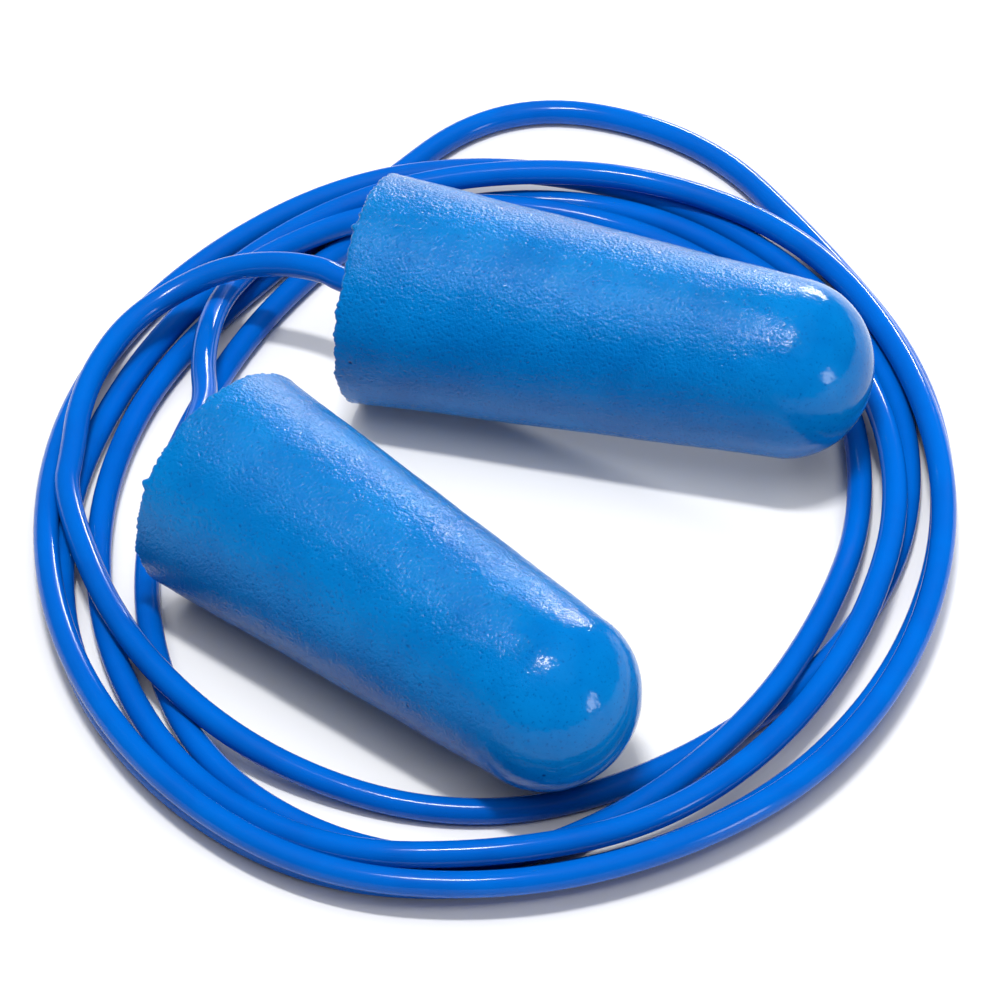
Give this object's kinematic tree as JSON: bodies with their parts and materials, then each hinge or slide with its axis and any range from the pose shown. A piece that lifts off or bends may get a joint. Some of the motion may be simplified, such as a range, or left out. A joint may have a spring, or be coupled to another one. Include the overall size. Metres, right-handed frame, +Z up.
{
  "type": "corded foam ear plugs",
  "caption": "Tapered soft foam ear plugs with round tips, joined by a thin cord that lies in a loose coil, for hearing protection in work and travel.",
  "frame": {"origin": "on the surface that the plugs lie on, under the middle of the box round the two plugs", "axes": "+Z up, +Y across the coil to the far side with the far plug, +X from the plugs' bases to the far plug's tip"},
  "size_m": [0.0467, 0.0606, 0.012],
  "materials": {
    "foam": "soft matt polyurethane foam, fine open pores, azure blue",
    "cord": "smooth glossy flexible plastic cord, royal blue, slightly see-through",
    "glue": "clear set adhesive",
    "steel_ball": "plain stainless ball"
  },
  "bodies": {
    "cord": {"cord_coil": "cord", "far_cord_lead": "cord", "near_cord_lead": "cord"},
    "far_plug": {"far_plug_foam": "foam", "far_steel_ball": "steel_ball", "far_glue_bond": "glue", "far_cord_end": "cord"},
    "near_plug": {"near_plug_foam": "foam", "near_steel_ball": "steel_ball", "near_glue_bond": "glue", "near_cord_end": "cord"}
  },
  "joints": [
    {"name": "far_plug_swing", "type": "hinge", "parent": "cord", "child": "far_plug", "pos_m": [-0.00715, 0.01432, 0.006], "axis": [-0.299, -0.9542, 0], "range_deg": [0, 60]},
    {"name": "near_plug_swing", "type": "hinge", "parent": "cord", "child": "near_plug", "pos_m": [-0.01434, -0.00029, 0.006], "axis": [-0.6858, -0.7278, 0], "range_deg": [0, 60]}
  ]
}
